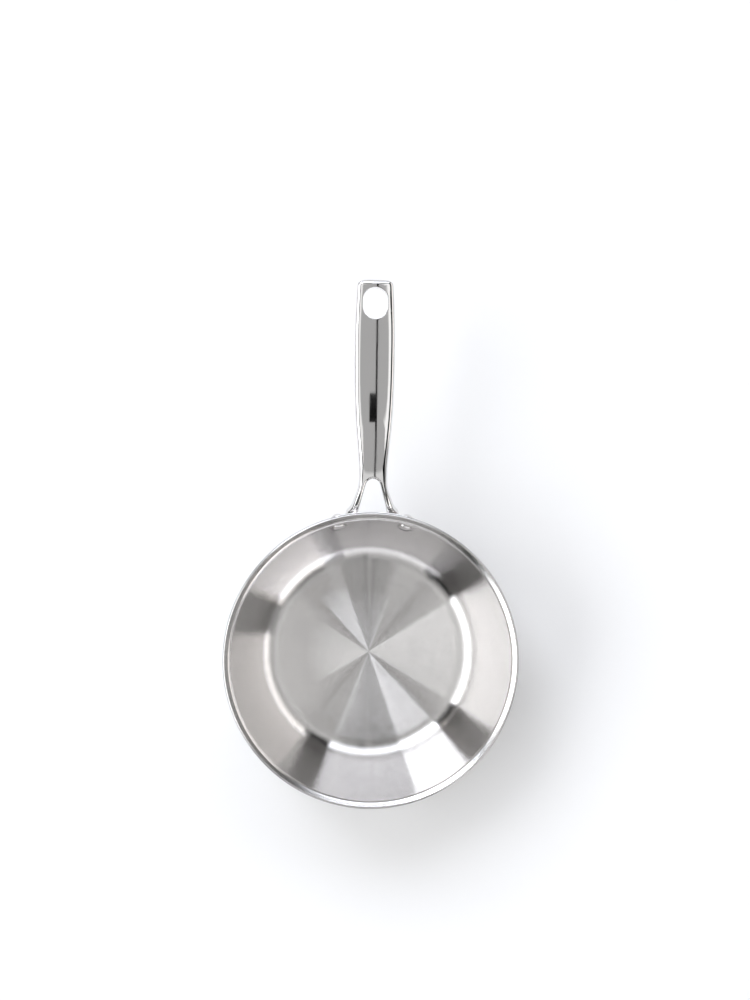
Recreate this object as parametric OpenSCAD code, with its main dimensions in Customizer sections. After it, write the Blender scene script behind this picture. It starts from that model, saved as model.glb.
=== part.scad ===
// Clad steel saucepan with a cast, forked handle held by two rivets.
// The origin is the centre of the base's underside, +Z is up and the handle points along +Y.

/* [Pan body] */
// Inside diameter of the mouth, at the middle of the bend into the lip
mouth_d = 200; // [160:1:260]
// Depth from the inside floor up to where the lip begins
pan_depth = 67.5; // [50:0.5:100]
// Tilt of the bowed wall from upright at its foot, in degrees
wall_foot_tilt = 24; // [18:1:30]
// Tilt of the bowed wall from upright just under the lip, in degrees
wall_top_tilt = 11; // [6:1:15]
// Inside radius of the corner between floor and wall
corner_r = 13; // [8:0.5:18]

/* [Pouring lip] */
// Radius of the bend from the wall into the lip, on its hollow underside
bend_r = 1; // [0.5:0.1:3]
// Tilt of the straight lip beyond its bend from upright, in degrees
lip_tilt = 66; // [55:1:75]
// Width of the lip seen from above, from the middle of its bend to its edge
lip_w = 5.2; // [4:0.1:8]

/* [Clad layers] */
// Thickness of the stainless liner that holds the food
liner_t = 0.5; // [0.3:0.05:0.8]
// Thickness of the aluminium core that spreads the heat
core_t = 1.6; // [1:0.1:2.2]
// Thickness of the magnetic steel skin on the outside
skin_t = 0.4; // [0.3:0.05:0.8]

/* [Handle] */
// Distance from the pan's axis to the handle's tip
handle_reach = 268; // [230:1:320]
// Widest width of the handle, seen from above
handle_w = 28.4; // [22:0.1:34]
// Thickness of the handle in the hand
handle_t = 8.6; // [6:0.1:11]
// Height that the handle's middle line gains from the plate to the tip
handle_rise = 24; // [12:1:45]
// Radius of the arch at the top of the gap between the two legs
arch_r = 5; // [3.5:0.1:6]
// Length of the legs, from the plate's face to the top of that arch
leg_l = 25; // [20:0.1:36]

/* [Handle plate] */
// Thickness of the curved plate that lies against the wall
plate_t = 4; // [2.5:0.1:5]
// Height of the plate
plate_h = 16; // [14:0.5:20]
// Distance from the start of the lip's bend down to the plate's top edge
plate_drop = 0.8; // [0.5:0.1:6]

/* [Hang hole] */
// Width of the hang hole
hole_w = 17.5; // [10:0.5:19]
// Length of the hang hole
hole_l = 22.2; // [20:0.1:28]
// Distance from the handle's tip to the middle of the hang hole
hole_from_tip = 16.7; // [15:0.1:24]

/* [Rivets] */
// Diameter of the rivet's shank
rivet_d = 5; // [4:0.1:6]
// Diameter of the low head inside the pan
head_d = 10.4; // [8:0.1:12]
// Height of the low head inside the pan
head_h = 1.9; // [1:0.1:2.5]
// Diameter of the tail closed against the plate
tail_d = 9; // [8:0.1:11]
// Height of the tail closed against the plate
tail_h = 3; // [1.5:0.1:3.5]

/* [Hidden] */

// Gap between a rivet's shank and its hole
shank_gap = 0.04;
// Clearance between a rivet's tail and the leg beside it
tail_clear = 0.4;
// How far a cutting shape runs past what it cuts
overrun = 30;
// Sides that a preview gives to a full circle, and to a small one
fine_sides = 360;
small_sides = 96;

// Thickness of the three layers together, which is also the height of the inside floor
pan_t = liner_t + core_t + skin_t;
mouth_r = mouth_d / 2;

// Direction in a radius and height plane that faces out of a wall of this tilt
function facing(tilt) = [cos(tilt), -sin(tilt)];

// The lip's bend on the inside face, and the radius at which it begins
bend_face_r = bend_r + pan_t;
lip_start_r = mouth_r - bend_face_r * (cos(wall_top_tilt) - cos((wall_top_tilt + lip_tilt) / 2));

// The wall is one arc, tangent to the corner's arc below and the bend's arc above
wall_r = (pan_depth - corner_r * (1 - sin(wall_foot_tilt))) / (sin(wall_foot_tilt) - sin(wall_top_tilt));
floor_r = lip_start_r - corner_r * cos(wall_foot_tilt) - wall_r * (cos(wall_top_tilt) - cos(wall_foot_tilt));
corner_mid = [floor_r, pan_t + corner_r];
wall_mid = corner_mid + (corner_r - wall_r) * facing(wall_foot_tilt);
lip_start = wall_mid + wall_r * facing(wall_top_tilt);
bend_mid = lip_start + bend_face_r * facing(wall_top_tilt);

// The straight lip runs from the bend until its lower corner is as far out as the lip is wide
flare_l = (mouth_r + lip_w - bend_mid.x + bend_r * cos(lip_tilt)) / sin(lip_tilt);

// The plate and its rivets share one height on the wall
plate_z = lip_start.y - plate_drop - plate_h / 2;
plate_tilt = asin((wall_mid.y - plate_z) / wall_r);
seat_r = wall_mid.x + wall_r * cos(plate_tilt);
plate_face_r = seat_r + (pan_t + plate_t) * cos(plate_tilt);

// Places along the handle are shares of the length from the plate's face to the tip
handle_l = handle_reach - plate_face_r;
// Half width of the handle at such places, as shares of half its widest width
outline_shares = [
    [0, 1.36], [0.014, 1.3], [0.023, 1.2], [0.036, 1.09], [0.058, 0.975], [0.08, 0.88],
    [0.101, 0.79], [0.125, 0.725], [0.15, 0.702], [0.18, 0.703], [0.217, 0.72], [0.285, 0.788],
    [0.4, 0.905], [0.528, 0.973], [0.656, 0.997], [0.792, 0.991], [0.911, 0.937], [1, 0.89]
];
// Thickness at such places, as shares of the handle's thickness
thickness_shares = [[0, 1.15], [0.07, 0.98], [0.16, 0.9], [0.3, 0.96], [0.5, 1], [0.8, 0.95], [1, 0.86]];
// Share of the length at which both tables place the top of the arch
arch_share = 0.153;
// Share of the rise that the bend above the fork takes, and the share of the length that it fades over
bend_share = 0.62;
bend_length_share = 0.125;
// Share of its slope that the handle beyond the bend gains at the plate and loses by the tip
hump_share = 0.8;
// Power that squares off the shank's section, and the one for the rounder legs
shank_power = 3.8;
leg_power = 2.5;
// Half width of the gap at the plate's face, as a share of the legs' half width there
gap_root_share = 0.55;
// Share of a leg's width that its inner rounding takes
inner_round_share = 0.5;
// The tip's outline is squared off with this power over this share of the widest width
tip_power = 3.5;
tip_round_share = 0.21;
// Share of the handle's thickness over which the tip is rounded off from the side
nose_share = 0.42;
// Share of the tip's rounding that is left flat at its very end
tip_flat_share = 0.004;
// Depth inside the wall at which the legs begin, as a share of the plate's height
root_depth_share = 0.75;

// The legs reach from the plate's face to the arch, and a rivet stands outside the root of each
arch_reach = plate_face_r + leg_l;
root_half_w = handle_w / 2 * outline_shares[0].y;
rivet_x = root_half_w + tail_clear + tail_d / 2;
rivet_angle = asin(rivet_x / (seat_r + pan_t));
head_sag = pow(head_d / 2, 2) / (2 * seat_r);

// Counts of sections along the handle, and of steps round half a section
root_steps = 4;
leg_steps = 9;
arch_steps = 7;
shank_steps = 13;
tip_steps = 7;
round_steps = 10;

// Counts of straight steps in the arcs of the corner, the wall and the bend
corner_steps = 9;
wall_steps = 12;
bend_steps = 8;

// Slope of a table at one of its points
function table_slope(table, i) =
    let (a = table[max(i - 1, 0)], b = table[min(i + 1, len(table) - 1)])
    (b.y - a.y) / (b.x - a.x);

// Index of the stretch of a table that holds a place
function stretch_of(table, at, i = 0) =
    i >= len(table) - 2 || at < table[i + 1].x ? i : stretch_of(table, at, i + 1);

// Value of a table at a place, on a smooth curve through its points
function smooth_at(table, at) =
    let (
        i = stretch_of(table, at),
        h = table[i + 1].x - table[i].x,
        s = min(max((at - table[i].x) / h, 0), 1)
    )
    (2 * pow(s, 3) - 3 * pow(s, 2) + 1) * table[i].y
    + (pow(s, 3) - 2 * pow(s, 2) + s) * h * table_slope(table, i)
    + (3 * pow(s, 2) - 2 * pow(s, 3)) * table[i + 1].y
    + (pow(s, 3) - pow(s, 2)) * h * table_slope(table, i + 1);

// Share of full size left at a share of the way in from a squared or rounded end
function end_round(at, power) = pow(1 - pow(1 - min(max(at, 0), 1), power), 1 / power);

// Share of the handle's length at a distance from the pan's axis
function along(y) = (y - plate_face_r) / handle_l;

// The same as the tables count it, with the arch always at its own share
function table_share(y) =
    y < arch_reach ? arch_share * (y - plate_face_r) / leg_l
    : arch_share + (1 - arch_share) * (y - arch_reach) / (handle_reach - arch_reach);

// Steepness of the handle's middle line, and its height
function steepness(y) =
    let (u = max(along(y), 0))
    handle_rise / handle_l * ((1 - bend_share) * (1 + hump_share * (1 - 2 * u))
    + bend_share * exp(-u / bend_length_share) / (bend_length_share * (1 - exp(-1 / bend_length_share))));
function middle_z(y) =
    let (u = max(along(y), 0))
    plate_z + handle_rise * ((1 - bend_share) * u * (1 + hump_share * (1 - u))
    + bend_share * (1 - exp(-u / bend_length_share)) / (1 - exp(-1 / bend_length_share)))
    + min(y - plate_face_r, 0) * steepness(plate_face_r);

// Half the handle's width, half its thickness and half the width of the gap between its legs
tip_round = handle_w * tip_round_share;
nose_round = handle_t * nose_share;
arch_mid = arch_reach - arch_r;
function half_width(y) =
    handle_w / 2 * smooth_at(outline_shares, table_share(y))
    * end_round((handle_reach - y) / tip_round, tip_power);
function half_thickness(y) =
    handle_t / 2 * smooth_at(thickness_shares, table_share(y))
    * end_round((handle_reach - y) / nose_round, 2);
// Each side of the gap slants from the plate's face to touch the arch's circle
gap_root = root_half_w * gap_root_share;
gap_slant =
    atan2(gap_root, arch_mid - plate_face_r) - asin(arch_r / norm([gap_root, arch_mid - plate_face_r]));
arch_touch = arch_mid + arch_r * sin(gap_slant);
function half_gap(y) =
    y >= arch_reach ? 0
    : y > arch_touch ? sqrt(pow(arch_r, 2) - pow(y - arch_mid, 2))
    : arch_r * cos(gap_slant) + (arch_touch - y) * tan(gap_slant);

// One power of a sine or cosine that keeps its sign
function bulge(v, power) = sign(v) * pow(abs(v), 2 / power);

// Points of the right half's section: bottom, outer edge, top, then back down the inner edge
function section(y) =
    let (
        gap = half_gap(y),
        w = max(half_width(y), gap),
        t = half_thickness(y),
        opened = min(gap / arch_r, 1),
        inner = opened * inner_round_share * (w - gap),
        crest = gap + inner,
        power = shank_power + (leg_power - shank_power) * opened,
        tilt = atan(steepness(y))
    )
    [for (j = [0 : 2 * round_steps - 1])
        let (
            a = -90 + 180 * j / round_steps,
            reach = j <= round_steps ? w - crest : inner,
            x = crest + reach * bulge(cos(a), power),
            n = t * bulge(sin(a), power)
        )
        [max(x, 0), y - n * sin(tilt), middle_z(y) + n * cos(tilt)]];

// Distances from the pan's axis at which the sections stand, closer together at the arch and the tip
root_y = seat_r - plate_h * root_depth_share;
tip_start = handle_reach - tip_round;
stations = [
    for (i = [0 : root_steps - 1]) root_y + (plate_face_r - root_y) * i / root_steps,
    for (i = [0 : leg_steps - 1]) plate_face_r + (arch_touch - plate_face_r) * i / leg_steps,
    for (i = [0 : arch_steps])
        arch_touch + (arch_reach - arch_touch) * sin(90 * i / arch_steps),
    for (i = [1 : shank_steps]) arch_reach + (tip_start - arch_reach) * i / shank_steps,
    for (i = [1 : tip_steps - 1]) tip_start + tip_round * sin(90 * i / tip_steps),
    handle_reach - tip_round * tip_flat_share
];
arch_station = root_steps + leg_steps + arch_steps;
last_station = len(stations) - 1;
loop = 2 * round_steps;

// Number of a section's point. Both halves share the points on the middle plane past the arch.
function point_no(side, k, j) =
    let (i = j % loop)
    side > 0 || (k >= arch_station && (i == 0 || i >= round_steps))
        ? k * loop + i
        : (last_station + 1 + k) * loop + i;

// A face of four points as two triangles, turned over on the left half
function quad(side, a, b, c, d) = side > 0 ? [[a, b, c], [a, c, d]] : [[c, b, a], [d, c, a]];

// The forked handle as one skin through its sections, the legs reaching into the wall
module handle_form() {
    half = [for (y = stations) each section(y)];
    points = concat(half, [for (p = half) [-p.x, p.y, p.z]]);
    skin = [
        for (side = [1, -1], k = [0 : last_station - 1])
            for (j = [0 : (k < arch_station ? loop : round_steps) - 1])
                each quad(side, point_no(side, k, j), point_no(side, k, j + 1),
                    point_no(side, k + 1, j + 1), point_no(side, k + 1, j))
    ];
    right_root = [for (j = [loop - 1 : -1 : 0]) point_no(1, 0, j)];
    left_root = [for (j = [0 : loop - 1]) point_no(-1, 0, j)];
    tip = concat(
        [for (j = [0 : round_steps]) point_no(1, last_station, j)],
        [for (j = [round_steps - 1 : -1 : 1]) point_no(-1, last_station, j)]
    );
    polyhedron(points, concat(skin, [right_root, left_root, tip]), convexity = 6);
}

// Points of an arc about a middle, from one tilt to another. A negative radius turns it outwards.
function arc(middle, r, from, to, steps) =
    [for (i = [0 : steps]) middle + r * facing(from + (to - from) * i / steps)];

// The wall's arc, and the lip's bend and straight flare, at a depth behind the inside face
function wall_arc(depth) = arc(wall_mid, wall_r + depth, wall_foot_tilt, wall_top_tilt, wall_steps);
function lip_line(depth) =
    let (bend = arc(bend_mid, depth - bend_face_r, wall_top_tilt, lip_tilt, bend_steps))
    concat(bend, [bend[bend_steps] + flare_l * [sin(lip_tilt), cos(lip_tilt)]]);

// One face of the pan from the floor's middle to the lip's edge, at a depth behind the inside face
function face_line(depth) = concat(
    [[0, pan_t - depth]],
    arc(corner_mid, corner_r + depth, 90, wall_foot_tilt, corner_steps),
    after_first(wall_arc(depth)),
    after_first(lip_line(depth))
);
function after_first(points) = [for (i = [1 : len(points) - 1]) points[i]];
function turned(points) = [for (i = [len(points) - 1 : -1 : 0]) points[i]];

// Solid of revolution between two lines of points
module turned_band(inner_line, outer_line) {
    rotate_extrude($fn = fine_sides) polygon(concat(inner_line, turned(outer_line)));
}

// Sets its children on the wall's inside face at a rivet, with their Z pointing out of the pan
module at_rivet(side) {
    rotate(90 - side * rivet_angle)
        translate([seat_r, 0, plate_z])
        rotate([0, 90 + plate_tilt, 0])
        children();
}

// Both rivet holes, through everything near the wall
module rivet_holes() {
    for (side = [1, -1])
        at_rivet(side)
        cylinder(d = rivet_d + 2 * shank_gap, h = overrun, center = true, $fn = small_sides);
}

// One bonded layer of the pan
module layer(from, to) {
    difference() {
        turned_band(face_line(from), face_line(to));
        rivet_holes();
    }
}

// Stainless liner
module inner_liner() {
    color("gainsboro") layer(0, liner_t);
}

// Aluminium core, sealed between the liner and the skin
module aluminium_core() {
    color("silver") layer(liner_t, liner_t + core_t);
}

// Magnetic steel skin, which stands on the hob
module outer_skin() {
    color("lightgray") layer(liner_t + core_t, pan_t);
}

// Outline of the plate, seen along the handle, with ends round the rivets
module plate_outline() {
    translate([-rivet_x, -plate_h / 2]) square([2 * rivet_x, plate_h]);
    for (side = [1, -1])
        translate([side * rivet_x, 0]) circle(d = plate_h, $fn = small_sides);
}

// The plate, curved to the wall that it seats on
module plate() {
    intersection() {
        turned_band(wall_arc(pan_t), wall_arc(pan_t + plate_t));
        translate([0, mouth_r + overrun, plate_z])
            rotate([90, 0, 0])
            linear_extrude(mouth_r)
            plate_outline();
    }
}

// Long round-ended outline of the hang hole
module hole_outline() {
    straight = hole_l - hole_w;
    translate([-hole_w / 2, -straight / 2]) square([hole_w, straight]);
    for (end = [1, -1])
        translate([0, end * straight / 2]) circle(d = hole_w, $fn = small_sides);
}

// The hang hole, square to the handle where it passes through
module hang_hole() {
    hole_y = handle_reach - hole_from_tip;
    translate([0, hole_y, middle_z(hole_y)])
        rotate([atan(steepness(hole_y)), 0, 0])
        linear_extrude(overrun, center = true)
        hole_outline();
}

// Cast handle with its two legs and its plate, seated on the skin
module handle() {
    color("whitesmoke") difference() {
        union() {
            handle_form();
            plate();
        }
        turned_band(wall_arc(-overrun), concat(wall_arc(pan_t), after_first(lip_line(pan_t))));
        hang_hole();
        rivet_holes();
    }
}

// Low dome on a flat seat, as wide as its diameter and of its own height
module dome(d, h) {
    r = (pow(d / 2, 2) + pow(h, 2)) / (2 * h);
    rotate_extrude($fn = small_sides) intersection() {
        translate([0, h - r]) circle(r = r, $fn = fine_sides);
        square([d / 2, h]);
    }
}

// Rivet with its low head inside the pan and its tail closed on the plate
module rivet(side) {
    color("gainsboro") at_rivet(side) {
        translate([0, 0, -head_sag]) mirror([0, 0, 1]) dome(head_d, head_h);
        translate([0, 0, -head_h / 2])
            cylinder(d = rivet_d, h = (head_h + tail_h) / 2 + pan_t + plate_t, $fn = small_sides);
        translate([0, 0, pan_t + plate_t]) dome(tail_d, tail_h);
    }
}

// Rivet on the left, seen from the pan towards the handle
module left_rivet() {
    rivet(-1);
}

// Rivet on the right
module right_rivet() {
    rivet(1);
}

inner_liner();
aluminium_core();
outer_skin();
handle();
left_rivet();
right_rivet();
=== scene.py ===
# Clad steel saucepan with a forked cast handle: looks, light and camera.
# Lengths are millimetres until a mesh is made, and repeat part.scad's unless a comment says otherwise.
import math

import bmesh
import bpy
import numpy as np
from mathutils import Matrix, Vector
from mathutils.geometry import delaunay_2d_cdt


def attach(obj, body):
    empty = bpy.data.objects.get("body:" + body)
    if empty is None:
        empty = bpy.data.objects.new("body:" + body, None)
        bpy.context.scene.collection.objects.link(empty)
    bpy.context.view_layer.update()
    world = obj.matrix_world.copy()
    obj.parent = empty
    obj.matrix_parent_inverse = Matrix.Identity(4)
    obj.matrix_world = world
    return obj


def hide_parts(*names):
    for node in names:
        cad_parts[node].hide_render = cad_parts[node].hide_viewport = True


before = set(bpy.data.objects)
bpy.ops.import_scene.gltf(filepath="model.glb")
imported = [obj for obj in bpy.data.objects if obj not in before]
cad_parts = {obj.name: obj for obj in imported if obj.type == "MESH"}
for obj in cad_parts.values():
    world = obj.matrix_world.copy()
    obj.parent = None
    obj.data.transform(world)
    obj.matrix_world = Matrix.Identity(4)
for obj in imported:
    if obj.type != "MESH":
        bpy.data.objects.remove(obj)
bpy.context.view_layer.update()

MM = 0.001
WELD = 0.001

# Pan body, lip and layers
MOUTH_R = 100.0
PAN_DEPTH = 67.5
FOOT_TILT = math.radians(24)
TOP_TILT = math.radians(11)
CORNER_R = 13.0
BEND_R = 1.0
LIP_TILT = math.radians(66)
LIP_W = 5.2
LINER_T, CORE_T, SKIN_T = 0.5, 1.6, 0.4
PAN_T = LINER_T + CORE_T + SKIN_T

BEND_FACE_R = BEND_R + PAN_T
LIP_START_R = MOUTH_R - BEND_FACE_R * (math.cos(TOP_TILT) - math.cos((TOP_TILT + LIP_TILT) / 2))
WALL_R = (PAN_DEPTH - CORNER_R * (1 - math.sin(FOOT_TILT))) / (math.sin(FOOT_TILT) - math.sin(TOP_TILT))
FLOOR_R = LIP_START_R - CORNER_R * math.cos(FOOT_TILT) - WALL_R * (math.cos(TOP_TILT) - math.cos(FOOT_TILT))


def facing(tilt):
    """The outward direction, as (radius, height), of a wall that leans out by an angle."""
    return np.array([math.cos(tilt), -math.sin(tilt)])


CORNER_MID = np.array([FLOOR_R, PAN_T + CORNER_R])
WALL_MID = CORNER_MID + (CORNER_R - WALL_R) * facing(FOOT_TILT)
LIP_START = WALL_MID + WALL_R * facing(TOP_TILT)
BEND_MID = LIP_START + BEND_FACE_R * facing(TOP_TILT)
FLARE = np.array([math.sin(LIP_TILT), math.cos(LIP_TILT)])
FLARE_L = (MOUTH_R + LIP_W - BEND_MID[0] + BEND_R * math.cos(LIP_TILT)) / math.sin(LIP_TILT)

# Handle, plate and rivets. The reach and the thickness are a hair under part.scad's 268 and 8.6, to
# stay inside its box, and the heads are lower than its 1.9, as the photo shows them.
REACH = 267.97
HANDLE_W = 28.4
HANDLE_T = 8.59
RISE = 24.0
ARCH_R = 5.0
LEG_L = 25.0
PLATE_T, PLATE_H, PLATE_DROP = 4.0, 16.0, 0.8
HOLE_W, HOLE_L, HOLE_FROM_TIP = 17.5, 22.2, 16.7
HEAD_D, HEAD_H = 10.4, 1.5
TAIL_D, TAIL_H, TAIL_CLEAR = 9.0, 3.0, 0.4
RIVET_D = 5.0
OUTLINE = np.array([
    [0, 1.36], [0.014, 1.3], [0.023, 1.2], [0.036, 1.09], [0.058, 0.975], [0.08, 0.88],
    [0.101, 0.79], [0.125, 0.725], [0.15, 0.702], [0.18, 0.703], [0.217, 0.72], [0.285, 0.788],
    [0.4, 0.905], [0.528, 0.973], [0.656, 0.997], [0.792, 0.991], [0.911, 0.937], [1, 0.89],
])
THICKNESS = np.array([[0, 1.15], [0.07, 0.98], [0.16, 0.9], [0.3, 0.96], [0.5, 1], [0.8, 0.95], [1, 0.86]])
ARCH_SHARE = 0.153
BEND, BEND_L, HUMP = 0.62, 0.125, 0.8
GAP_ROOT_SHARE = 0.55
TIP_POWER, TIP_ROUND = 3.5, HANDLE_W * 0.21
NOSE_ROUND = HANDLE_T * 0.42

PLATE_Z = LIP_START[1] - PLATE_DROP - PLATE_H / 2
PLATE_TILT = math.asin((WALL_MID[1] - PLATE_Z) / WALL_R)
SEAT_R = WALL_MID[0] + WALL_R * math.cos(PLATE_TILT)
FACE_R = SEAT_R + (PAN_T + PLATE_T) * math.cos(PLATE_TILT)
HANDLE_L = REACH - FACE_R
ARCH_REACH = FACE_R + LEG_L
ARCH_MID = ARCH_REACH - ARCH_R
ROOT_HALF_W = HANDLE_W / 2 * OUTLINE[0][1]
RIVET_X = ROOT_HALF_W + TAIL_CLEAR + TAIL_D / 2
RIVET_ANGLE = math.asin(RIVET_X / (SEAT_R + PAN_T))
HEAD_X = SEAT_R * math.sin(RIVET_ANGLE)
HEAD_SAG = (HEAD_D / 2) ** 2 / (2 * SEAT_R)
GAP_ROOT = ROOT_HALF_W * GAP_ROOT_SHARE
GAP_SLANT = (math.atan2(GAP_ROOT, ARCH_MID - FACE_R)
             - math.asin(ARCH_R / math.hypot(GAP_ROOT, ARCH_MID - FACE_R)))
ARCH_TOUCH = ARCH_MID + ARCH_R * math.sin(GAP_SLANT)
HOLE_Y = REACH - HOLE_FROM_TIP


def smooth_at(table, at):
    """A smooth curve through a table's points, read at some places."""
    x, y = table[:, 0], table[:, 1]
    slopes = np.empty(len(x))
    slopes[1:-1] = (y[2:] - y[:-2]) / (x[2:] - x[:-2])
    slopes[0] = (y[1] - y[0]) / (x[1] - x[0])
    slopes[-1] = (y[-1] - y[-2]) / (x[-1] - x[-2])
    at = np.asarray(at, float)
    i = np.clip(np.searchsorted(x, at, side="right") - 1, 0, len(x) - 2)
    h = x[i + 1] - x[i]
    s = np.clip((at - x[i]) / h, 0, 1)
    return ((2 * s**3 - 3 * s**2 + 1) * y[i] + (s**3 - 2 * s**2 + s) * h * slopes[i]
            + (3 * s**2 - 2 * s**3) * y[i + 1] + (s**3 - s**2) * h * slopes[i + 1])


def rounding(share, power):
    """A round edge's height, from 0 to 1, at a share of its width."""
    return (1 - (1 - np.clip(share, 0, 1)) ** power) ** (1 / power)


def smoothstep(a, b, v):
    s = np.clip((v - a) / (b - a), 0, 1)
    return s * s * (3 - 2 * s)


def table_share(y):
    """Where a place along the handle comes in the tables, in which the arch keeps its own share."""
    y = np.asarray(y, float)
    return np.where(y < ARCH_REACH, ARCH_SHARE * (y - FACE_R) / LEG_L,
                    ARCH_SHARE + (1 - ARCH_SHARE) * (y - ARCH_REACH) / (REACH - ARCH_REACH))


def along(y):
    """The share of the way from the plate's face to the tip."""
    return np.maximum((np.asarray(y, float) - FACE_R) / HANDLE_L, 0)


def steepness(y):
    """The slope of the handle's middle face."""
    u = along(y)
    return RISE / HANDLE_L * ((1 - BEND) * (1 + HUMP * (1 - 2 * u))
                              + BEND * np.exp(-u / BEND_L) / (BEND_L * (1 - math.exp(-1 / BEND_L))))


def middle_z(y):
    u = along(y)
    return (PLATE_Z + RISE * ((1 - BEND) * u * (1 + HUMP * (1 - u))
                              + BEND * (1 - np.exp(-u / BEND_L)) / (1 - math.exp(-1 / BEND_L)))
            + np.minimum(np.asarray(y, float) - FACE_R, 0) * steepness(FACE_R))


def base_half_width(y):
    return HANDLE_W / 2 * smooth_at(OUTLINE, table_share(y))


def half_gap(y):
    y = np.asarray(y, float)
    arch = np.sqrt(np.maximum(ARCH_R**2 - (y - ARCH_MID) ** 2, 0))
    line = ARCH_R * math.cos(GAP_SLANT) + (ARCH_TOUCH - y) * math.tan(GAP_SLANT)
    return np.where(y >= ARCH_REACH, 0, np.where(y > ARCH_TOUCH, arch, line))


def leg_width(y):
    return base_half_width(y) - half_gap(y)


def wall_radius(z, depth):
    """The wall's radius at a height, at a depth behind the liner's face."""
    return WALL_MID[0] + np.sqrt((WALL_R + depth) ** 2 - (WALL_MID[1] - z) ** 2)


# Mesh helpers
def new_piece(name, points, faces, material, node):
    mesh = bpy.data.meshes.new(name)
    mesh.from_pydata([tuple(p) for p in np.asarray(points) * MM], [], [tuple(map(int, f)) for f in faces])
    welded = bmesh.new()
    welded.from_mesh(mesh)
    bmesh.ops.remove_doubles(welded, verts=welded.verts, dist=WELD * MM)
    bmesh.ops.dissolve_degenerate(welded, edges=welded.edges, dist=WELD * MM)
    welded.to_mesh(mesh)
    welded.free()
    mesh.validate()
    mesh.update()
    mesh.shade_smooth()
    ob = bpy.data.objects.new(name, mesh)
    bpy.context.scene.collection.objects.link(ob)
    mesh.materials.append(material)
    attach(ob, "root")
    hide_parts(node)


def strip_faces(rows, closed=True, turned=False):
    """Faces of four points between rows that run side by side, turned over if need be."""
    faces = []
    for a, b in zip(rows, rows[1:]):
        for i in range(len(a) if closed else len(a) - 1):
            j = (i + 1) % len(a)
            faces.append((a[i], b[i], b[j], a[j]) if turned else (a[i], a[j], b[j], b[i]))
    return faces


def lathe(profile, segments):
    """Points and faces of a closed profile of (radius, height) turned about Z."""
    points, rows = [], []
    angles = np.arange(segments) * 2 * math.pi / segments
    for r, z in profile:
        if r < WELD:
            rows.append([len(points)] * segments)
            points.append((0, 0, z))
        else:
            rows.append(list(range(len(points), len(points) + segments)))
            points += [(r * math.cos(a), r * math.sin(a), z) for a in angles]
    faces = []
    for face in strip_faces(rows, turned=True):
        corners = [v for i, v in enumerate(face) if v not in face[:i]]
        if len(corners) > 2:
            faces.append(corners)
    return points, faces


# The pan's layers. The steps are those over the floor, the corner, the wall and the bend.
FINE_STEPS, PLAIN_STEPS = (22, 26, 32, 20), (4, 9, 10, 8)
FLARE_SHARES = (0.04, 0.25, 0.45, 0.65, 1)
CUT_STEPS = 8
EDGE_ROUND = 0.9
PAN_SEGMENTS = 288


def arc(middle, r, start, end, steps):
    return [middle + r * facing(start + (end - start) * i / steps) for i in range(steps + 1)]


def face_line(depth, steps):
    """The section of the face at a depth below the liner's, from the axis to the lip's end."""
    floor, corner, wall, bend = steps
    line = [np.array([FLOOR_R * i / floor, PAN_T - depth]) for i in range(floor)]
    line += arc(CORNER_MID, CORNER_R + depth, math.pi / 2, FOOT_TILT, corner)
    line += arc(WALL_MID, WALL_R + depth, FOOT_TILT, TOP_TILT, wall)[1:]
    line += arc(BEND_MID, depth - BEND_FACE_R, TOP_TILT, LIP_TILT, bend)[1:]
    flare_start = line[-1]
    return line + [flare_start + FLARE_L * share * FLARE for share in FLARE_SHARES]


def lip_end(depth):
    """The lip's cut edge at a depth, with its two corners polished round."""
    near = min(depth, PAN_T - depth)
    back = 0.0
    if near < EDGE_ROUND:
        back = EDGE_ROUND - math.sqrt(EDGE_ROUND**2 - (EDGE_ROUND - near) ** 2)
    return BEND_MID + (depth - BEND_FACE_R) * facing(LIP_TILT) + (FLARE_L - back) * FLARE


def layer_profile(start, end, start_steps, end_steps):
    inner = face_line(start, start_steps)
    outer = face_line(end, end_steps)
    inner[-1], outer[-1] = lip_end(start), lip_end(end)
    cut_edge = [lip_end(start + (end - start) * i / CUT_STEPS) for i in range(1, CUT_STEPS)]
    return inner + cut_edge + outer[::-1]


# Shader helpers
BLACK = (0.0, 0.0, 0.0, 1.0)
QUARTER_TURN = 0.25


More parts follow.
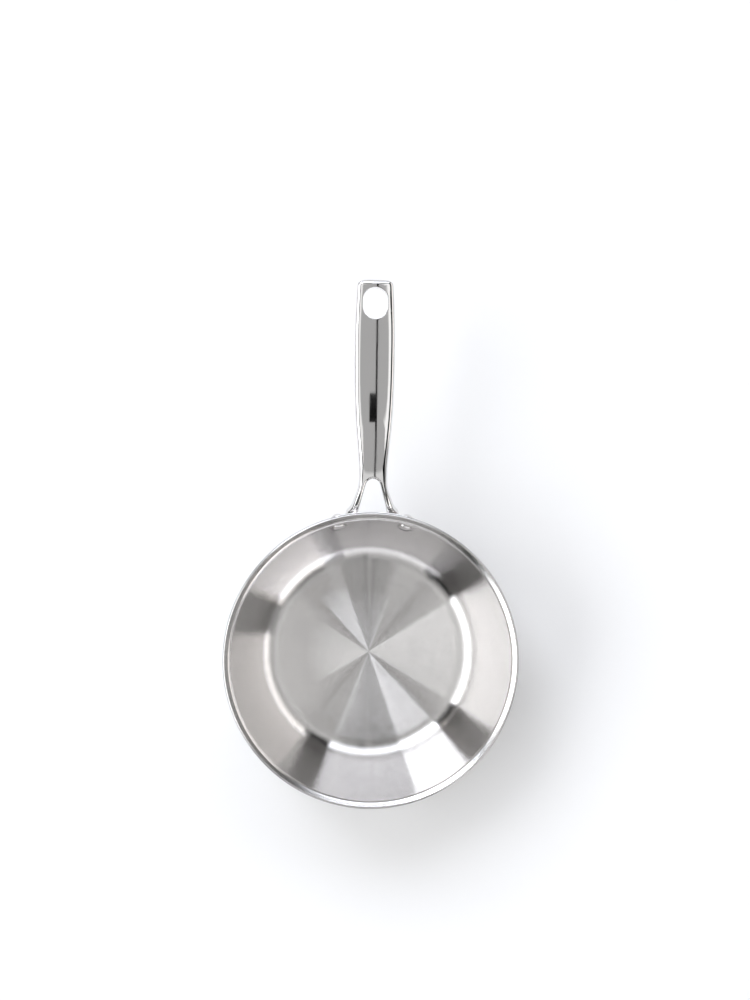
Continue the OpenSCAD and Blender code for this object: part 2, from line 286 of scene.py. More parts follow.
class Nodes:
    """A material's or a world's node tree, emptied down to its output."""

    def __init__(self, owner, output):
        owner.use_nodes = True
        self.owner = owner
        self.tree = owner.node_tree
        self.tree.nodes.clear()
        self.out = self.add(output)

    def add(self, kind, **settings):
        n = self.tree.nodes.new(kind)
        for k, v in settings.items():
            setattr(n, k, v)
        return n

    def link(self, a, b):
        self.tree.links.new(a, b)

    def put(self, value, socket):
        if isinstance(value, bpy.types.NodeSocket):
            self.link(value, socket)
        else:
            socket.default_value = value

    def math(self, operation, a, b=None, c=None):
        n = self.add("ShaderNodeMath", operation=operation)
        for i, v in enumerate((a, b, c)):
            if v is not None:
                self.put(v, n.inputs[i])
        return n.outputs[0]

    def combine(self, x, y, z):
        n = self.add("ShaderNodeCombineXYZ")
        for i, v in enumerate((x, y, z)):
            self.put(v, n.inputs[i])
        return n.outputs[0]

    def stretched(self, *parts):
        """A vector of three values, each times its own scale."""
        return self.combine(*(self.math("MULTIPLY", v, scale) for v, scale in parts))

    def separate(self, vector):
        n = self.add("ShaderNodeSeparateXYZ")
        self.link(vector, n.inputs[0])
        return n.outputs

    def object_coord(self):
        return self.add("ShaderNodeTexCoord").outputs["Object"]

    def in_mm(self, coord, axes="XYZ"):
        """The parts of object coordinates along some axes, in millimetres."""
        split = self.separate(coord)
        return [self.math("MULTIPLY", split[axis], 1 / MM) for axis in axes]

    def vector(self, operation, a, b=None, scale=None):
        n = self.add("ShaderNodeVectorMath", operation=operation)
        for v, name in ((a, 0), (b, 1), (scale, "Scale")):
            if v is not None:
                self.put(v, n.inputs[name])
        return n.outputs["Value" if operation == "LENGTH" else "Vector"]

    def noise(self, vector, scale, detail, rough=0.5):
        n = self.add("ShaderNodeTexNoise", noise_dimensions="3D")
        self.link(vector, n.inputs["Vector"])
        n.inputs["Scale"].default_value = scale
        n.inputs["Detail"].default_value = detail
        n.inputs["Roughness"].default_value = rough
        return n.outputs["Fac"]

    def centred(self, noise):
        """Noise moved so that its middle is nought."""
        return self.math("SUBTRACT", noise, 0.5)

    def remap(self, value, a, b, c, d, smooth=False):
        n = self.add("ShaderNodeMapRange", interpolation_type="SMOOTHSTEP" if smooth else "LINEAR")
        for name, v in (("Value", value), ("From Min", a), ("From Max", b), ("To Min", c), ("To Max", d)):
            self.put(v, n.inputs[name])
        return n.outputs["Result"]

    def mix(self, fac, a, b):
        n = self.add("ShaderNodeMix", data_type="FLOAT")
        self.put(fac, n.inputs["Factor"])
        self.put(a, n.inputs["A"])
        self.put(b, n.inputs["B"])
        return n.outputs["Result"]

    def mix_colour(self, fac, a, b):
        n = self.add("ShaderNodeMix", data_type="RGBA")
        self.put(fac, n.inputs[0])
        self.put(a, n.inputs[6])
        self.put(b, n.inputs[7])
        return n.outputs[2]

    def bump(self, height, strength, distance):
        n = self.add("ShaderNodeBump")
        n.inputs["Strength"].default_value = strength
        n.inputs["Distance"].default_value = distance
        self.link(height, n.inputs["Height"])
        return n.outputs["Normal"]

    def ring_tangent(self):
        return self.add("ShaderNodeTangent", direction_type="RADIAL", axis="Z").outputs[0]

    def diffuse(self, level):
        n = self.add("ShaderNodeBsdfDiffuse")
        n.inputs["Color"].default_value = (level, level, level, 1)
        self.link(n.outputs[0], self.out.inputs["Surface"])

    def metal(self, colour, tone, roughness, normal, anisotropic=0.0):
        """Bare metal of a colour, darkened by a tone. Its brushing, if any, runs in rings about Z."""
        n = self.add("ShaderNodeBsdfPrincipled")
        n.inputs["Metallic"].default_value = 1.0
        self.link(self.mix_colour(tone, BLACK, colour), n.inputs["Base Color"])
        self.link(roughness, n.inputs["Roughness"])
        self.link(normal, n.inputs["Normal"])
        if anisotropic:
            n.inputs["Anisotropic"].default_value = anisotropic
            n.inputs["Anisotropic Rotation"].default_value = QUARTER_TURN
            self.link(self.ring_tangent(), n.inputs["Tangent"])
        self.link(n.outputs[0], self.out.inputs["Surface"])


def material_nodes(name):
    return Nodes(bpy.data.materials.new(name), "ShaderNodeOutputMaterial")


# Noise drawn out into rings about the pan's axis: its steps to a millimetre across the rings, its steps
# to a radian round them, and its detail
LINER_FINE, LINER_BROAD, LINER_GROOVES = (2.6, 2.2, 4.0), (0.22, 0.9, 2.0), (12.0, 600.0, 0.0)
SKIN_RINGS, CORE_RINGS = (2.0, 2.2, 4.0), (6.0, 6.0, 3.0)
RING_ROUGH = 0.6
AXIS_R = 0.5


class PanPlace:
    """A place on the pan: the object coordinates, and lengths in millimetres and turns taken from them."""

    def __init__(self, n):
        self.coord = n.object_coord()
        self.x, self.y, self.z = n.in_mm(self.coord)
        squares = n.math("ADD", n.math("MULTIPLY", self.x, self.x), n.math("MULTIPLY", self.y, self.y))
        self.r = n.math("SQRT", squares)
        self.across = n.math("ADD", self.r, self.z)
        safe = n.math("MAXIMUM", self.r, AXIS_R)
        self.cos = n.math("DIVIDE", self.x, safe)
        self.sin = n.math("DIVIDE", self.y, safe)


def ring_lines(n, at, per_mm, turn, detail):
    """Noise drawn out into long rings about the pan's axis."""
    drawn_out = n.stretched((at.across, per_mm), (at.cos, turn), (at.sin, turn))
    return n.noise(drawn_out, 1.0, detail, RING_ROUGH)


# The liner's brushed grooves tip its face across the rings, less on the polished lip, which is tipped
# along them as well. Painted shade darkens the liner round the rivets' heads and the heads' lower edges.
FLOOR_TILT, WALL_TILT, FLARE_TILT = 1.9, 1.0, 0.35
TILT_CHANGE = (FLOOR_R - 4, FLOOR_R + 2)
POLISH_CHANGE = (LIP_START[0] - 1, LIP_START[0] + 1)
FLARE_SCATTER = 0.36
# Painted shade: how far it reaches round the rivets' heads, how much further it stretches below them and
# its tone, then the heights over which it darkens the heads' lower edges
PAINTED_SHADE_REACH, PAINTED_SHADE_STRETCH, PAINTED_SHADE_TONE = 1.0, 1.9, 0.3
HEAD_SHADE = (PLATE_Z - 1.4, PLATE_Z + 0.4)
CUT_EDGE = (MOUTH_R + LIP_W - 1.5, MOUTH_R + LIP_W - 1.1)
CUT_EDGE_TONE = 0.45
FOOT_Z = (0.6, 2.0)

# Noise: its steps to a metre, its detail and its roughness. The scratches' are to a millimetre.
SKIN_NOISE, RIVET_NOISE, SPECKLE_NOISE = (28.0, 3.0), (300.0, 3.0), (6000.0, 0.0)
HANDLE_NOISE, WAVE_NOISE = (45.0, 4.0, 0.55), (60.0, 1.0, 0.4)
SCRATCH_SCALE, SCRATCH_NOISE = (3.0, 0.05, 3.0), (1.0, 4.0, 0.6)

# Each metal's colour, the ranges that noise spreads its roughness and its tone over, and how strong and
# how deep its bumps are
LINER_BRUSHED, SKIN_BRUSHED = 1.0, 0.6
RING_TONE, ROUGH_DRIFT = (0.97, 1.03), (-0.01, 0.01)
LINER_COLOUR, LINER_ROUGH = (0.76, 0.745, 0.735, 1.0), (0.085, 0.105)
SKIN_COLOUR, SKIN_ROUGH, FOOT_ROUGH = (0.74, 0.735, 0.73, 1.0), (0.10, 0.17), (0.28, 0.42)
CORE_COLOUR, CORE_ROUGH, CORE_TONE = (0.82, 0.82, 0.83, 1.0), (0.3, 0.42), (0.95, 1.0)
HANDLE_COLOUR, HANDLE_ROUGH, HANDLE_TONE = (0.80, 0.79, 0.785, 1.0), (0.035, 0.075), (1.0, 0.975)
RIVET_COLOUR, RIVET_ROUGH, RIVET_TONE = (0.77, 0.76, 0.75, 1.0), (0.06, 0.11), (1.0, 0.96)
SCRATCH_ROUGH = (0.0, 0.02)
RING_BUMP, HANDLE_BUMP, RIVET_BUMP = (0.2, 0.00002), (0.12, 0.00015), (0.1, 0.00002)

# The parts of a noise's values that are spread over those ranges
MOST, MIDDLE = (0.25, 0.75), (0.3, 0.7)
SKIN_SMUDGE, HANDLE_SMUDGE, RIVET_SMUDGE, SMUDGE_SHADE = (0.35, 0.75), (0.4, 0.75), (0.3, 0.75), (0.3, 0.8)
SCRATCHES = (0.5, 0.8)


def tipped_normal(n, tilt, scatter):
    """The surface's normal, tipped by one slope across the brushed rings and by another along them."""
    normal = n.add("ShaderNodeNewGeometry").outputs["Normal"]
    ring = n.ring_tangent()
    across = n.vector("CROSS_PRODUCT", ring, normal)
    normal = n.vector("ADD", normal, n.vector("SCALE", across, scale=tilt))
    normal = n.vector("ADD", normal, n.vector("SCALE", ring, scale=scatter))
    return n.vector("NORMALIZE", normal)


def painted_head_shade(n, at):
    """The liner's tone, darkened by painted shade round the rivets' heads and further out below them."""
    aside = n.math("SUBTRACT", n.math("ABSOLUTE", at.x), HEAD_X)
    aside = n.math("DIVIDE", aside, math.cos(RIVET_ANGLE))
    above = n.math("SUBTRACT", at.z, PLATE_Z)
    above = n.math("MAXIMUM", above, n.math("DIVIDE", above, PAINTED_SHADE_STRETCH))
    from_head = n.vector("LENGTH", n.combine(aside, above, 0.0))
    from_head = n.math("MAXIMUM", from_head, n.math("MULTIPLY", at.y, -1.0))
    return n.remap(from_head, HEAD_D / 2, HEAD_D / 2 + PAINTED_SHADE_REACH, PAINTED_SHADE_TONE, 1.0, smooth=True)


def liner_steel():
    n = material_nodes("liner_steel_brushed")
    at = PanPlace(n)
    fine = ring_lines(n, at, *LINER_FINE)
    broad = ring_lines(n, at, *LINER_BROAD)
    rough = n.math("ADD", n.remap(fine, *MIDDLE, *LINER_ROUGH), n.remap(broad, *MIDDLE, *ROUGH_DRIFT))
    tone = n.math("MULTIPLY", n.remap(broad, *MIDDLE, *RING_TONE), n.remap(fine, *MOST, *RING_TONE))
    # Painted shade round and below the rivets' heads
    tone = n.math("MULTIPLY", tone, painted_head_shade(n, at))
    polished = n.remap(at.r, *POLISH_CHANGE, 0.0, 1.0, smooth=True)
    depth = n.remap(at.r, *TILT_CHANGE, FLOOR_TILT, WALL_TILT, smooth=True)
    depth = n.mix(polished, depth, FLARE_TILT)
    groove = n.centred(ring_lines(n, at, *LINER_GROOVES))
    speckle = n.centred(n.noise(at.coord, *SPECKLE_NOISE))
    scatter = n.math("MULTIPLY", n.math("MULTIPLY", speckle, polished), FLARE_SCATTER)
    normal = tipped_normal(n, n.math("MULTIPLY", groove, depth), scatter)
    n.metal(LINER_COLOUR, tone, rough, normal, anisotropic=LINER_BRUSHED)
    return n.owner


def skin_steel():
    n = material_nodes("skin_steel_polished")
    at = PanPlace(n)
    fine = ring_lines(n, at, *SKIN_RINGS)
    smudge = n.noise(at.coord, *SKIN_NOISE)
    foot = n.remap(at.z, *FOOT_Z, 1.0, 0.0, smooth=True)
    rough = n.mix(foot, n.remap(smudge, *SKIN_SMUDGE, *SKIN_ROUGH), n.remap(fine, *MIDDLE, *FOOT_ROUGH))
    tone = n.remap(fine, *MOST, *RING_TONE)
    n.metal(SKIN_COLOUR, tone, rough, n.bump(fine, *RING_BUMP), anisotropic=SKIN_BRUSHED)
    return n.owner


def core_aluminium():
    n = material_nodes("core_aluminium_cut")
    at = PanPlace(n)
    fine = ring_lines(n, at, *CORE_RINGS)
    rough = n.remap(fine, *MIDDLE, *CORE_ROUGH)
    # Darker towards the lip's cut edge
    cut_edge_dark = n.remap(at.r, *CUT_EDGE, 1.0, CUT_EDGE_TONE)
    tone = n.math("MULTIPLY", n.remap(fine, *MIDDLE, *CORE_TONE), cut_edge_dark)
    n.metal(CORE_COLOUR, tone, rough, n.bump(fine, *RING_BUMP))
    return n.owner


def handle_steel():
    n = material_nodes("handle_steel_mirror")
    coord = n.object_coord()
    smudge = n.noise(coord, *HANDLE_NOISE)
    waves = n.noise(coord, *WAVE_NOISE)
    scratch = n.noise(n.stretched(*zip(n.in_mm(coord), SCRATCH_SCALE)), *SCRATCH_NOISE)
    rough = n.remap(smudge, *HANDLE_SMUDGE, *HANDLE_ROUGH)
    rough = n.math("ADD", rough, n.remap(scratch, *SCRATCHES, *SCRATCH_ROUGH))
    tone = n.remap(smudge, *SMUDGE_SHADE, *HANDLE_TONE)
    n.metal(HANDLE_COLOUR, tone, rough, n.bump(waves, *HANDLE_BUMP))
    return n.owner


def rivet_steel():
    n = material_nodes("rivet_steel_polished")
    coord = n.object_coord()
    height, = n.in_mm(coord, "Z")
    smudge = n.noise(coord, *RIVET_NOISE)
    rough = n.remap(smudge, *RIVET_SMUDGE, *RIVET_ROUGH)
    # Painted shade on the heads' lower edges
    under = n.remap(height, *HEAD_SHADE, PAINTED_SHADE_TONE, 1.0, smooth=True)
    tone = n.math("MULTIPLY", n.remap(smudge, *SMUDGE_SHADE, *RIVET_TONE), under)
    n.metal(RIVET_COLOUR, tone, rough, n.bump(smudge, *RIVET_BUMP))
    return n.owner


LINER = liner_steel()
SKIN = skin_steel()
CORE = core_aluminium()
HANDLE = handle_steel()
RIVET = rivet_steel()

# The three bonded layers of the pan
for name, start, thickness, start_steps, end_steps, material, slot in (
        ("inner_liner", 0.0, LINER_T, FINE_STEPS, PLAIN_STEPS, LINER, "liner_steel"),
        ("aluminium_core", LINER_T, CORE_T, PLAIN_STEPS, PLAIN_STEPS, CORE, "core_aluminium"),
        ("outer_skin", LINER_T + CORE_T, SKIN_T, PLAIN_STEPS, FINE_STEPS, SKIN, "skin_steel")):
    profile = layer_profile(start, start + thickness, start_steps, end_steps)
    points, faces = lathe(profile, PAN_SEGMENTS)
    new_piece("pan_" + name, points, faces, material, name)


# The handle's skin, from rings that follow its edges and a mesh of triangles between them.
# Each power squares off a round: 2 is a circle's.
SHOULDER, SHOULDER_SHARE, SHOULDER_POWER = 4.7, 0.8, 3.0
LEG_POWER, GAP_POWER, NOSE_POWER, TIP_INSIDE_POWER = 2.5, 2.3, 2, 2.6
GAP_ROUND_LEAST, GAP_ROUND_MOST = 1.8, 2.4
LEGS_END, SHANK_START = 112.0, 150.0
CROWN_R = 130.0
HOLE_FILLET = 0.25
ROOT_Y = 99.0
ROOT_CLEAR = 0.8
TINY = 1e-6

# How far in from the edges the rings reach, at most a share of a leg's width, and their steps
EDGE_INSET, GAP_INSET, INSET_SHARE = 3.0, 2.6, 0.42
EDGE_SHARES = np.array([
    0, 0.003, 0.012, 0.03, 0.06, 0.11, 0.18, 0.28, 0.42, 0.6, 0.85, 1.15, 1.5, 1.95, 2.45, 3.0,
]) / EDGE_INSET
FILLET_STEPS, HOLE_RINGS, HOLE_WALL_STEPS = 8, [0.9, 1.5, 2.1, 2.8], 5
LEG_STEP, LEG_STEPS_END, SHANK_STEPS = 0.45, 130, 190
TIP_STEPS, ARCH_STEPS, HOLE_STEPS, HOLE_SIDE_STEPS = 45, 22, 48, 6
GRID_STEP, GRID_HALF_W, GRID_START, GRID_CLEAR = 0.8, 18, 0.3, 0.5
ALL_TRIANGLES, MERGE = 0, 1e-7


def gap_distance(x, y):
    """How far a place in the handle's plan lies from the gap between the legs."""
    x = np.abs(x)
    c, s = math.cos(GAP_SLANT), math.sin(GAP_SLANT)
    tx, ty = ARCH_R * c, ARCH_MID + ARCH_R * s
    beside = (x - tx) * s - (y - ty) * c > 0
    return np.where(beside, (x - tx) * c + (y - ty) * s, np.hypot(x, y - ARCH_MID) - ARCH_R)


def hole_distance(x, y):
    half = (HOLE_L - HOLE_W) / 2
    dy = np.maximum(np.abs(y - HOLE_Y) - half, 0)
    return np.hypot(x, dy) - HOLE_W / 2


def half_height(x, y):
    """Half the handle's thickness at a place in its plan."""
    x = np.abs(x)
    full_w = base_half_width(y)
    w = full_w * rounding((REACH - y) / TIP_ROUND, TIP_POWER)
    shoulder = np.minimum(SHOULDER, SHOULDER_SHARE * w)
    shank = np.clip((x - w + shoulder) / np.maximum(shoulder, TINY), 0, 1)
    shank = (1 - shank**SHOULDER_POWER) ** (1 / SHOULDER_POWER)
    middle = (half_gap(np.minimum(y, ARCH_TOUCH)) + full_w) / 2
    leg = np.clip((x - middle) / np.maximum(w - middle, TINY), 0, 1)
    leg = (1 - leg**LEG_POWER) ** (1 / LEG_POWER)
    side = shank + (leg - shank) * smoothstep(SHANK_START, LEGS_END, y)
    t = HANDLE_T / 2 * smooth_at(THICKNESS, table_share(y))
    nose = rounding((REACH - y) / NOSE_ROUND, NOSE_POWER)
    gap_round = np.clip(leg_width(np.minimum(y, ARCH_TOUCH)) / 2, GAP_ROUND_LEAST, GAP_ROUND_MOST)
    inner = rounding(gap_distance(x, y) / gap_round, GAP_POWER)
    n = (t - x**2 / (2 * CROWN_R)) * side * nose * inner
    d = np.clip(hole_distance(x, y), 0, HOLE_FILLET)
    return n - (HOLE_FILLET - np.sqrt(np.maximum(HOLE_FILLET**2 - (HOLE_FILLET - d) ** 2, 0)))


def mirrored(right):
    """A curve that ends on the middle line, carried on by its mirror image."""
    return np.concatenate([right, (right * np.array([-1, 1]))[-2::-1]])


def squared_quarter(power):
    """Height and width along a squared-off quarter circle, after its first point."""
    a = np.linspace(0, math.pi / 2, TIP_STEPS)[1:]
    s, c = np.sin(a) ** (2 / power), np.cos(a) ** (2 / power)
    c[-1] = 0
    return s, c


def outer_curves():
    """The outline from the right leg's root round the tip, and a curve inside it."""
    tip_start = REACH - TIP_ROUND
    legs_y = np.arange(ROOT_Y, LEG_STEPS_END, LEG_STEP)
    y = np.concatenate([legs_y, np.linspace(LEG_STEPS_END, tip_start, SHANK_STEPS)])
    w = base_half_width(y)
    inset = np.minimum(EDGE_INSET, INSET_SHARE * leg_width(y))
    s, c = squared_quarter(TIP_POWER)
    tip_y = tip_start + TIP_ROUND * s
    tip = np.stack([base_half_width(tip_y) * c, tip_y], 1)
    s, c = squared_quarter(TIP_INSIDE_POWER)
    tip_inside = np.stack([(base_half_width(tip_start) - EDGE_INSET) * c,
                           tip_start + (TIP_ROUND - EDGE_INSET) * s], 1)
    outer = np.concatenate([np.stack([w, y], 1), tip])
    inner = np.concatenate([np.stack([w - inset, y], 1), tip_inside])
    return mirrored(outer), mirrored(inner)


def gap_curves():
    """The edge of the gap from the right leg's root over the arch, and a curve outside it."""
    y = np.arange(ROOT_Y, ARCH_TOUCH, LEG_STEP)
    line = np.stack([half_gap(y), y], 1)
    reach = np.minimum(GAP_INSET, INSET_SHARE * leg_width(y))
    line_out = line + np.outer(reach, [math.cos(GAP_SLANT), math.sin(GAP_SLANT)])
    a = np.linspace(GAP_SLANT, math.pi / 2, ARCH_STEPS)
    arch = np.stack([ARCH_R * np.cos(a), ARCH_MID + ARCH_R * np.sin(a)], 1)
    reach = reach[-1] + (GAP_INSET - reach[-1]) * np.linspace(0, 1, ARCH_STEPS)
    arch_out = arch + reach[:, None] * np.stack([np.cos(a), np.sin(a)], 1)
    arch[-1, 0] = arch_out[-1, 0] = 0
    return mirrored(np.concatenate([line, arch])), mirrored(np.concatenate([line_out, arch_out]))


def hole_ring(d):
    """The hang hole's outline, widened by a distance."""
    half = (HOLE_L - HOLE_W) / 2
    r = HOLE_W / 2 + d
    ring = []
    for side, turn in ((1, 0), (-1, math.pi)):
        for a in np.linspace(turn, turn + math.pi, HOLE_STEPS):
            ring.append((r * math.cos(a), HOLE_Y + side * half + r * math.sin(a)))
        for k in range(1, HOLE_SIDE_STEPS):
            ring.append((-side * r, HOLE_Y + side * (half - 2 * half * k / HOLE_SIDE_STEPS)))
    return np.array(ring)


def inside(polygon, points):
    """Which points lie inside a closed polygon."""
    x, y = points[:, 0][:, None], points[:, 1][:, None]
    x1, y1 = polygon[:, 0], polygon[:, 1]
    x2, y2 = np.roll(x1, -1), np.roll(y1, -1)
    crosses = (y1 > y) != (y2 > y)
    at = x1 + (y - y1) / np.where(y2 == y1, 1, y2 - y1) * (x2 - x1)
    return (crosses & (x < at)).sum(1) % 2 == 1


def middle_triangles(plan, loop, hole_loop):
    """Points on a grid between the rings, and the triangles that join them to the rings."""
    polygon, hole = plan[loop], plan[hole_loop]
    rim = np.concatenate([polygon, hole])
    grid = []
    grid_y = np.arange(ROOT_Y + GRID_START, REACH - EDGE_INSET, GRID_STEP * math.sqrt(3) / 2)
    for k, y in enumerate(grid_y):
        x = np.arange(-GRID_HALF_W, GRID_HALF_W, GRID_STEP) + (GRID_STEP / 2 if k % 2 else 0)
        grid.append(np.stack([x, np.full(len(x), y)], 1))
    grid = np.concatenate(grid)
    grid = grid[inside(polygon, grid) & ~inside(hole, grid)]
    to_rim = np.array([np.min(np.hypot(*(rim - g).T)) for g in grid])
    grid = grid[to_rim > GRID_CLEAR]
    ids = np.concatenate([loop, hole_loop, len(plan) + np.arange(len(grid))])
    edges = []
    for first, count in ((0, len(loop)), (len(loop), len(hole_loop))):
        edges += [(first + i, first + (i + 1) % count) for i in range(count)]
    corners = [Vector(p) for p in np.concatenate([rim, grid])]
    cut, _, faces, origins, _, _ = delaunay_2d_cdt(corners, edges, [], ALL_TRIANGLES, MERGE)
    back = [ids[o[0]] if o else -1 for o in origins]
    cut = np.array([list(v) for v in cut])
    centres = np.array([cut[list(f)].mean(0) for f in faces])
    wanted = inside(polygon, centres) & ~inside(hole, centres)
    triangles = [tuple(back[i] for i in f) for f, ok in zip(faces, wanted) if ok]
    return grid, [f for f in triangles if min(f) >= 0]


def turns_left(a, b, c):
    return (b[0] - a[0]) * (c[1] - a[1]) - (b[1] - a[1]) * (c[0] - a[0]) >= 0


def off_middle(plan, height):
    """Points of the plan at a height off the handle's middle face, kept out of the pan's wall."""
    x, y = plan[:, 0], plan[:, 1]
    tilt = np.arctan(steepness(y))
    p = np.stack([x, y - height * np.sin(tilt), middle_z(y) + height * np.cos(tilt)], 1)
    stop = np.sqrt(np.maximum((wall_radius(p[:, 2], PAN_T) + ROOT_CLEAR) ** 2 - p[:, 0] ** 2, 0))
    p[:, 1] = np.maximum(p[:, 1], stop)
    return p


def handle_mesh():
    plan = np.empty((0, 2))

    def keep(points):
        nonlocal plan
        plan = np.concatenate([plan, points])
        return np.arange(len(plan) - len(points), len(plan))

    outline, inset = outer_curves()
    gap_edge, gap_out = gap_curves()
    fillet = HOLE_FILLET * (1 - np.cos(np.linspace(0, math.pi / 2, FILLET_STEPS)))
    outer_rows = [keep(outline + (inset - outline) * share) for share in EDGE_SHARES]
    gap_rows = [keep(gap_edge + (gap_out - gap_edge) * share) for share in EDGE_SHARES]
    hole_rows = [keep(hole_ring(d)) for d in list(fillet) + HOLE_RINGS]
    plan_faces = strip_faces(outer_rows, closed=False)
    plan_faces += strip_faces([row[::-1] for row in gap_rows], closed=False)
    plan_faces += strip_faces([row[::-1] for row in hole_rows])
    loop = np.concatenate([outer_rows[-1], gap_rows[-1][::-1]])
    grid, triangles = middle_triangles(plan, loop, hole_rows[-1])
    keep(grid)
    plan_faces += triangles

    height = half_height(plan[:, 0], plan[:, 1])
    height[outer_rows[0]] = 0
    height[gap_rows[0]] = 0
    count = len(plan)
    points = np.concatenate([off_middle(plan, height), off_middle(plan, -height)])
    faces = []
    for f in plan_faces:
        if not turns_left(*plan[list(f[:3])]):
            f = f[::-1]
        faces.append(f)
        faces.append(tuple(i + count for i in f[::-1]))

    # The wall inside the hang hole
    levels = [hole_rows[0]]
    top, bottom = points[hole_rows[0]], points[hole_rows[0] + count]
    for k in range(1, HOLE_WALL_STEPS):
        levels.append(len(points) + np.arange(len(top)))
        points = np.concatenate([points, top + (bottom - top) * k / HOLE_WALL_STEPS])
    levels.append(hole_rows[0] + count)
    faces += strip_faces(levels, turned=True)

    # The edges where top and bottom meet share their points
    same = np.arange(len(points))
    for row in (outer_rows[0], gap_rows[0]):
        same[row + count] = row
    return points, [tuple(same[i] for i in f) for f in faces]


# The curved plate behind the legs, its outer edge polished round
PLATE_ROUND = 1.0
PLATE_STEPS, PLATE_EDGE_STEPS, PLATE_ROUND_STEPS = 40, 3, 6
PLATE_INSETS = (1.6, 2.4, 3.4, 4.5, 5.7, 6.9, PLATE_H / 2)


def plate_outline(inset):
    """The plate's outline in its own plane, drawn in by an inset."""
    r = PLATE_H / 2 - inset
    turn = np.linspace(-math.pi / 2, math.pi / 2, PLATE_STEPS)
    end = [(RIVET_X + r * math.cos(a), r * math.sin(a)) for a in turn]
    side = [(RIVET_X - 2 * RIVET_X * k / PLATE_STEPS, r) for k in range(1, PLATE_STEPS)]
    half = np.array(end + side)
    return np.concatenate([half, -half])


def plate_mesh():
    edge = PLATE_T - PLATE_ROUND
    rings = [(0.0, edge * i / PLATE_EDGE_STEPS) for i in range(PLATE_EDGE_STEPS + 1)]
    for a in np.linspace(0, math.pi / 2, PLATE_ROUND_STEPS + 1)[1:]:
        rings.append((PLATE_ROUND * (1 - math.cos(a)), edge + PLATE_ROUND * math.sin(a)))
    rings += [(inset, PLATE_T) for inset in PLATE_INSETS]
    points, rows = [], []
    for inset, off_skin in rings:
        ring = plate_outline(inset)
        z = PLATE_Z + ring[:, 1]
        y = np.sqrt(wall_radius(z, PAN_T + off_skin) ** 2 - ring[:, 0] ** 2)
        rows.append(np.arange(len(points), len(points) + len(ring)))
        points += list(np.stack([ring[:, 0], y, z], 1))
    return np.array(points), strip_faces(rows)


handle_points, handle_faces = handle_mesh()
plate_points, plate_faces = plate_mesh()
plate_faces = [tuple(i + len(handle_points) for i in f) for f in plate_faces]
new_piece("cast_handle", np.concatenate([handle_points, plate_points]), handle_faces + plate_faces,
          HANDLE, "handle")


# Rivets. Their heads and tails are sunk a little into the metal, past its curve.
HEAD_POWER = 2.1
HEAD_STEPS, TAIL_STEPS, RIVET_SEGMENTS = 24, 20, 64
SUNK = 0.6


def rivet_profile():
    plate_face = PAN_T + PLATE_T
    profile = [(0.0, -HEAD_SAG - HEAD_H)]
    for a in np.linspace(0, math.pi / 2, HEAD_STEPS)[1:]:
        rise = HEAD_H * math.cos(a) ** (2 / HEAD_POWER)
        profile.append((HEAD_D / 2 * math.sin(a), -HEAD_SAG - rise))
    profile += [(HEAD_D / 2, SUNK), (RIVET_D / 2, SUNK)]
    profile += [(RIVET_D / 2, plate_face - SUNK), (TAIL_D / 2, plate_face - SUNK)]
    tail_r = ((TAIL_D / 2) ** 2 + TAIL_H**2) / (2 * TAIL_H)
    for a in np.linspace(math.asin(TAIL_D / 2 / tail_r), 0, TAIL_STEPS):
        profile.append((tail_r * math.sin(a), plate_face + TAIL_H - tail_r * (1 - math.cos(a))))
    return profile


for side, name in ((-1, "left_rivet"), (1, "right_rivet")):
    points, faces = lathe(rivet_profile(), RIVET_SEGMENTS)
    seated = np.array(Matrix.Rotation(math.pi / 2 - side * RIVET_ANGLE, 4, "Z")
                      @ Matrix.Translation((SEAT_R, 0, PLATE_Z))
                      @ Matrix.Rotation(math.pi / 2 + PLATE_TILT, 4, "Y"))
    points = np.c_[np.array(points), np.ones(len(points))] @ seated.T
    new_piece(name + "_polished", points[:, :3], faces, RIVET, name)

# Floor. From here on lengths are metres.
FLOOR_CORNERS = [(-4.0, -4.0, 0), (4.0, -4.0, 0), (4.0, 4.0, 0), (-4.0, 4.0, 0)]
FLOOR_DROP, FLOOR_WHITE = 0.0001, 0.92


def stage_object(name, points, faces, material):
    mesh = bpy.data.meshes.new(name)
    mesh.from_pydata(points, [], faces)
    mesh.materials.append(material)
    ob = bpy.data.objects.new(name, mesh)
    bpy.context.scene.collection.objects.link(ob)
    return ob


floor_nodes = material_nodes("studio_floor_white")
floor_nodes.diffuse(FLOOR_WHITE)
floor = stage_object("studio_floor", FLOOR_CORNERS, [(0, 1, 2, 3)], floor_nodes.owner)
floor.location.z = -FLOOR_DROP

# The camera's own dark body and arm, which only the metal shows
DARK_LEVEL = 0.01
DARK_BOXES = {
    "studio_camera_body": ((-0.03, 0.0, 1.16), (0.064, 0.117, 1.24)),
    "studio_boom": ((0.052, -0.9, 1.25), (0.076, 0.9, 1.27)),
}
BOX_FACES = [(0, 1, 3, 2), (4, 6, 7, 5), (0, 4, 5, 1), (2, 3, 7, 6), (0, 2, 6, 4), (1, 5, 7, 3)]
dark_nodes = material_nodes("studio_dark")
dark_nodes.diffuse(DARK_LEVEL)
for name, (low, high) in DARK_BOXES.items():
    corners = [(x, y, z) for z in (low[2], high[2]) for y in (low[1], high[1]) for x in (low[0], high[0])]
    box = stage_object(name, corners, BOX_FACES, dark_nodes.owner)
    box.visible_camera = False
    box.visible_diffuse = False
    box.visible_shadow = False

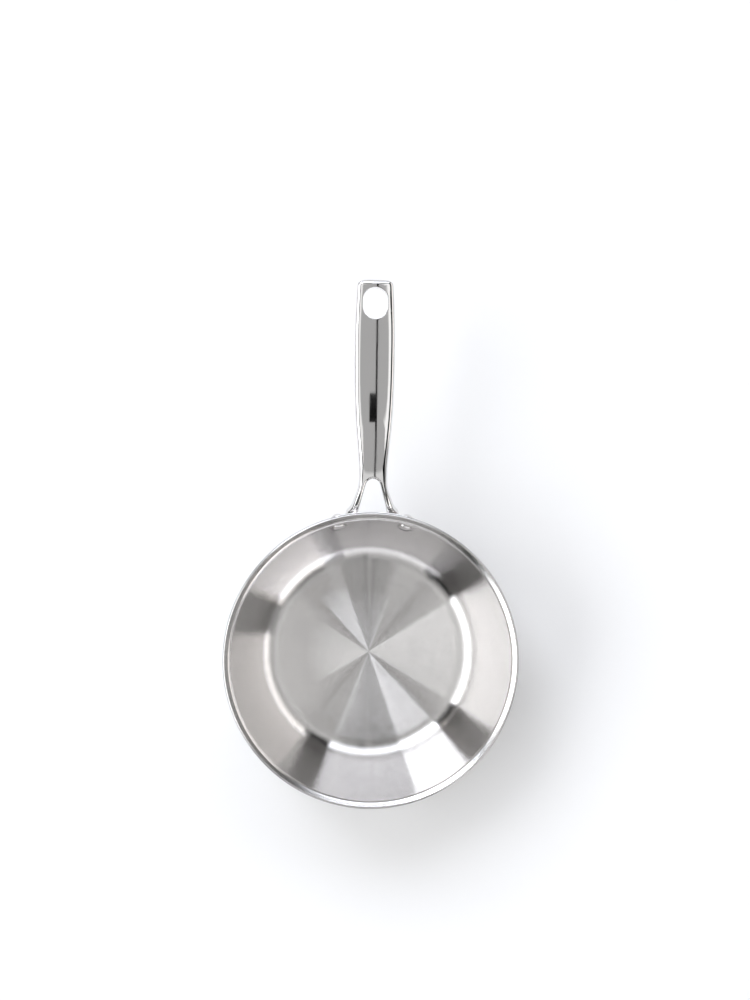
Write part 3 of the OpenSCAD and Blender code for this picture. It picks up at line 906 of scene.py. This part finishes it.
# Soft boxes round the table, which the metal shows, with plain white for the camera. Azimuths run
# clockwise from +Y and zeniths down from straight up, both in degrees. Then come the level and the tint.
WARM, COOL, CLEAR, PLAIN = (1.0, 0.965, 0.94), (0.93, 0.96, 1.03), (0.96, 0.975, 1.0), (1.0, 1.0, 1.0)
OVERHEAD, OVERHEAD_EDGE = 0.47, 28
SOFT_BOXES = {
    "ceiling_left": (209, 340, 12, 28, 0.55, PLAIN),
    "ceiling_right": (27, 138, 12, 26, 0.7, PLAIN),
    "left": (230, 296, 38, 68, 3.7, CLEAR),
    "upper_left": (313, 340, 33, 68, 5.4, COOL),
    "top": (340, 387, 38, 66, 3.0, COOL),
    "right_dim": (40, 122, 44, 54, 0.55, PLAIN),
    "right": (44, 105, 54, 74, 1.6, WARM),
    "lower_right": (122, 154, 55, 74, 2.6, WARM),
    "right_gap": (105, 122, 54, 74, 0.45, PLAIN),
    "bottom_dim": (154, 209, 28, 42, 0.8, PLAIN),
    "bottom_faint": (154, 209, 42, 54, 0.15, PLAIN),
    "bottom": (165, 209, 56, 70, 1.35, PLAIN),
    "horizon": (-2, 362, 80, 92, 0.4, PLAIN),
}
BOX_EDGE = 1.0
HALF_TURN = 180.0


def make_world(boxes):
    world = bpy.data.worlds.new("studio")
    bpy.context.scene.world = world
    n = Nodes(world, "ShaderNodeOutputWorld")
    east, north, up = n.separate(n.add("ShaderNodeTexCoord").outputs["Generated"])
    azimuth = n.math("DEGREES", n.math("ARCTAN2", east, north))
    zenith = n.math("DEGREES", n.math("ARCCOSINE", up))

    def edge(value, at, inside, outside):
        return n.remap(value, at - BOX_EDGE, at + BOX_EDGE, inside, outside)

    shade = edge(zenith, OVERHEAD_EDGE, OVERHEAD, 0.0)
    colour = n.combine(shade, shade, shade)
    for start, end, near, far, level, tint in boxes.values():
        aside = n.math("SUBTRACT", azimuth, (start + end) / 2)
        aside = n.math("ABSOLUTE", n.math("WRAP", aside, HALF_TURN, -HALF_TURN))
        mask = edge(aside, (end - start) / 2, level, 0.0)
        mask = n.math("MULTIPLY", mask, edge(zenith, near, 0.0, 1.0))
        mask = n.math("MULTIPLY", mask, edge(zenith, far, 1.0, 0.0))
        colour = n.vector("ADD", colour, n.vector("SCALE", tint, scale=mask))
    camera_ray = n.add("ShaderNodeLightPath").outputs["Is Camera Ray"]
    background = n.add("ShaderNodeBackground")
    n.link(n.mix_colour(camera_ray, colour, (1, 1, 1, 1)), background.inputs["Color"])
    background.inputs["Strength"].default_value = 1.0
    n.link(background.outputs[0], n.out.inputs["Surface"])


make_world(SOFT_BOXES)

# A faint broad lamp at the upper left, which the metal doesn't show, helps to draw the soft shadow
LAMP_W, LAMP_ENERGY, LAMP_DISTANCE = 0.5, 1.0, 1.3
LAMP_AZIMUTH, LAMP_ELEVATION = math.radians(300), math.radians(48)
lamp_data = bpy.data.lights.new("key_softbox", "AREA")
lamp_data.shape = "RECTANGLE"
lamp_data.size = LAMP_W
lamp_data.size_y = LAMP_W
lamp_data.energy = LAMP_ENERGY
lamp = bpy.data.objects.new("key_softbox", lamp_data)
bpy.context.scene.collection.objects.link(lamp)
lamp_out = LAMP_DISTANCE * math.cos(LAMP_ELEVATION)
lamp.location = (lamp_out * math.sin(LAMP_AZIMUTH), lamp_out * math.cos(LAMP_AZIMUTH),
                 LAMP_DISTANCE * math.sin(LAMP_ELEVATION))
lamp.rotation_euler = (-lamp.location).to_track_quat("-Z", "Y").to_euler()
lamp.visible_glossy = False

# Camera, from a fit to the circles and marks of the photograph
CAMERA_AT = (-0.03296, 0.1134, 1.19389)
CAMERA_TURNS = (("Y", -1.764), ("X", 0.02), ("Z", 0.583))
camera_data = bpy.data.cameras.new("camera")
camera_data.sensor_fit = "AUTO"
camera_data.sensor_width = 36.0
camera_data.lens = 57.094
camera_data.clip_end = 50
camera = bpy.data.objects.new("camera", camera_data)
bpy.context.scene.collection.objects.link(camera)
camera_place = Matrix.Translation(CAMERA_AT)
for axis, degrees in CAMERA_TURNS:
    camera_place = camera_place @ Matrix.Rotation(math.radians(degrees), 4, axis)
camera.matrix_world = camera_place
bpy.context.scene.camera = camera

bpy.context.scene.view_settings.view_transform = "Standard"

bpy.context.view_layer.update()
